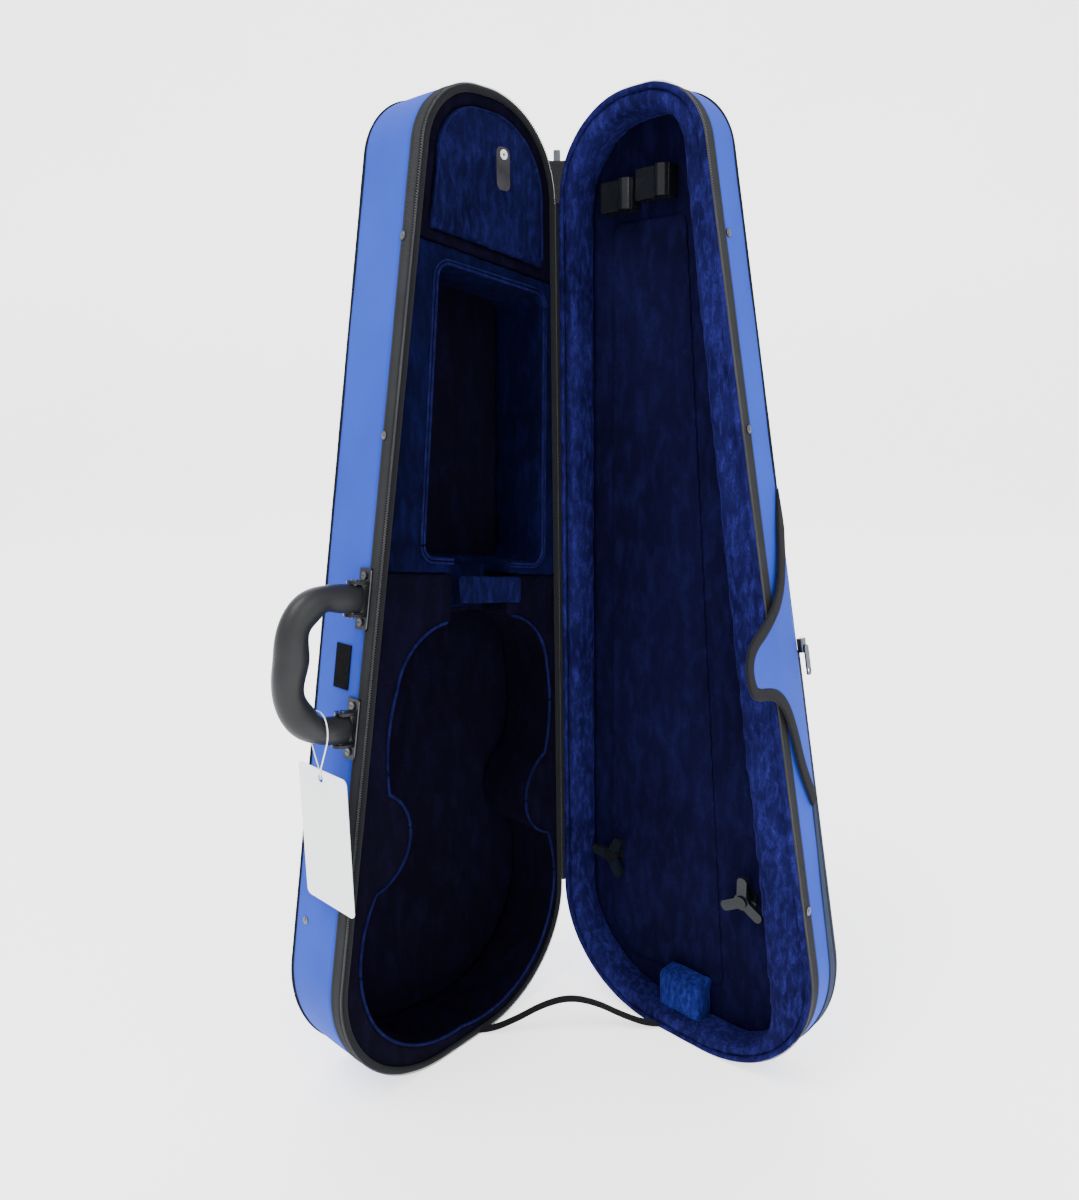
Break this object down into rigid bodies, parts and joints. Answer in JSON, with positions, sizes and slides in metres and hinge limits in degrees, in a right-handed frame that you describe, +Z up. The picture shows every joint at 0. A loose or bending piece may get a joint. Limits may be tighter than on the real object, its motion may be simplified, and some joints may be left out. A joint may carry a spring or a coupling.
{
  "type": "violin case",
  "caption": "Tapered zip-up violin case with a deep moulded half, a shallow bow lid on a cloth hinge, a side handle and a zipped outer pocket, standing open on its wide end.",
  "frame": {"origin": "middle of the flat wide end face of the deep half, on which the open case stands", "axes": "+Z up along the case towards its narrow tip; +Y out of the mouth of the deep half; +X from the cloth hinge towards the handle side"},
  "size_m": [0.3274, 0.3225, 0.778],
  "materials": {
    "nylon": "woven",
    "zip_tape": "woven",
    "zip_teeth": "satin",
    "binding": "woven",
    "velvet": "velvet pile",
    "black_plastic": "moulded",
    "black_metal": "satin",
    "bright_metal": "polished",
    "leather": "grained",
    "tag": "plain"
  },
  "bodies": {
    "deep_half": {"body_zip_teeth": "zip_teeth", "body_zip_tape": "zip_tape", "body_rim_binding": "binding", "body_side_cover": "nylon", "body_back_piping": "binding", "body_back_panel": "nylon", "insert_floor": "velvet", "nest_insert": "velvet", "scroll_insert": "velvet", "compartment_insert": "velvet", "well_piping": "binding", "neck_pad": "velvet", "bracket_upper": "black_metal", "bracket_lower": "black_metal", "handle_pins": "bright_metal", "bracket_screws": "bright_metal", "velcro_patch": "black_plastic", "body_rivets": "bright_metal", "hinge_tape_body": "zip_tape", "zipper_slider": "bright_metal", "zipper_web": "zip_tape", "stay_strap": "binding"},
    "lid": {"lid_zip_teeth": "zip_teeth", "lid_zip_tape": "zip_tape", "lid_side_cover": "nylon", "lid_back_piping": "binding", "lid_back_panel": "nylon", "lid_floor": "velvet", "lid_rim_pad": "velvet", "lid_panel": "velvet", "plush_block": "velvet", "bow_holder_left": "black_plastic", "bow_holder_right": "black_plastic", "turn_post_left": "black_plastic", "turn_post_right": "black_plastic", "pocket_zipper": "zip_tape", "pocket_panel": "nylon", "rain_flap": "nylon", "flap_binding": "binding", "lid_rivets": "bright_metal", "hinge_tape_lid": "zip_tape"},
    "compartment_lid": {"compartment_lid": "velvet", "tab_eyelet": "bright_metal"},
    "tab": {"compartment_tab": "leather"},
    "neck_strap": {"neck_strap": "velvet"},
    "handle": {"handle": "black_plastic"},
    "tag": {"hang_tag": "tag", "tag_thread": "tag"},
    "button_left": {"turn_button_left": "black_plastic"},
    "button_right": {"turn_button_right": "black_plastic"},
    "pocket_slider": {"pocket_slider": "bright_metal"},
    "pocket_pull": {"pocket_pull": "bright_metal"}
  },
  "joints": [
    {"name": "lid_hinge", "type": "hinge", "parent": "deep_half", "child": "lid", "pos_m": [-0.12968, 0.0346, 0.4], "axis": [0, 0, 1], "range_deg": [-90, 10], "deforming": ["stay_strap", "zipper_web"]},
    {"name": "compartment_hinge", "type": "hinge", "parent": "deep_half", "child": "compartment_lid", "pos_m": [-0.04968, 0.0334, 0.6648], "axis": [-0.9874, 0, -0.158], "range_deg": [0, 110]},
    {"name": "tab_swivel", "type": "hinge", "parent": "compartment_lid", "child": "tab", "pos_m": [-0.06868, 0.0343, 0.733], "axis": [0, 1, 0], "range_deg": [-60, 60]},
    {"name": "neck_strap_hinge", "type": "hinge", "parent": "deep_half", "child": "neck_strap", "pos_m": [-0.01168, 0.03285, 0.404], "axis": [0, 0, -1], "range_deg": [0, 120]},
    {"name": "handle_swing", "type": "hinge", "parent": "deep_half", "child": "handle", "pos_m": [0.08843, 0.0176, 0.36197], "axis": [-0.1791, 0, 0.9838], "range_deg": [-60, 60]},
    {"name": "tag_hang", "type": "hinge", "parent": "handle", "child": "tag", "pos_m": [0.11589, 0.0176, 0.31716], "axis": [-0.1791, 0, 0.9838], "range_deg": [-60, 60], "deforming": ["tag_thread"]},
    {"name": "button_left_turn", "type": "hinge", "parent": "lid", "child": "button_left", "pos_m": [-0.15368, 0.0726, 0.134], "axis": [1, 0, 0], "continuous": true},
    {"name": "button_right_turn", "type": "hinge", "parent": "lid", "child": "button_right", "pos_m": [-0.15368, 0.2126, 0.14], "axis": [1, 0, 0], "continuous": true},
    {"name": "pocket_zip_travel", "type": "slide", "parent": "lid", "child": "pocket_slider", "axis": [0, 0.1791, -0.9838], "range_m": [0, 0.2]},
    {"name": "pull_swing", "type": "hinge", "parent": "pocket_slider", "child": "pocket_pull", "pos_m": [-0.17418, 0.24846, 0.36015], "axis": [0, 0.9838, 0.1791], "range_deg": [-45, 45]}
  ],
  "couplings": [
    {"joint": "tag_hang", "follows": "handle_swing", "ratio": -1}
  ]
}
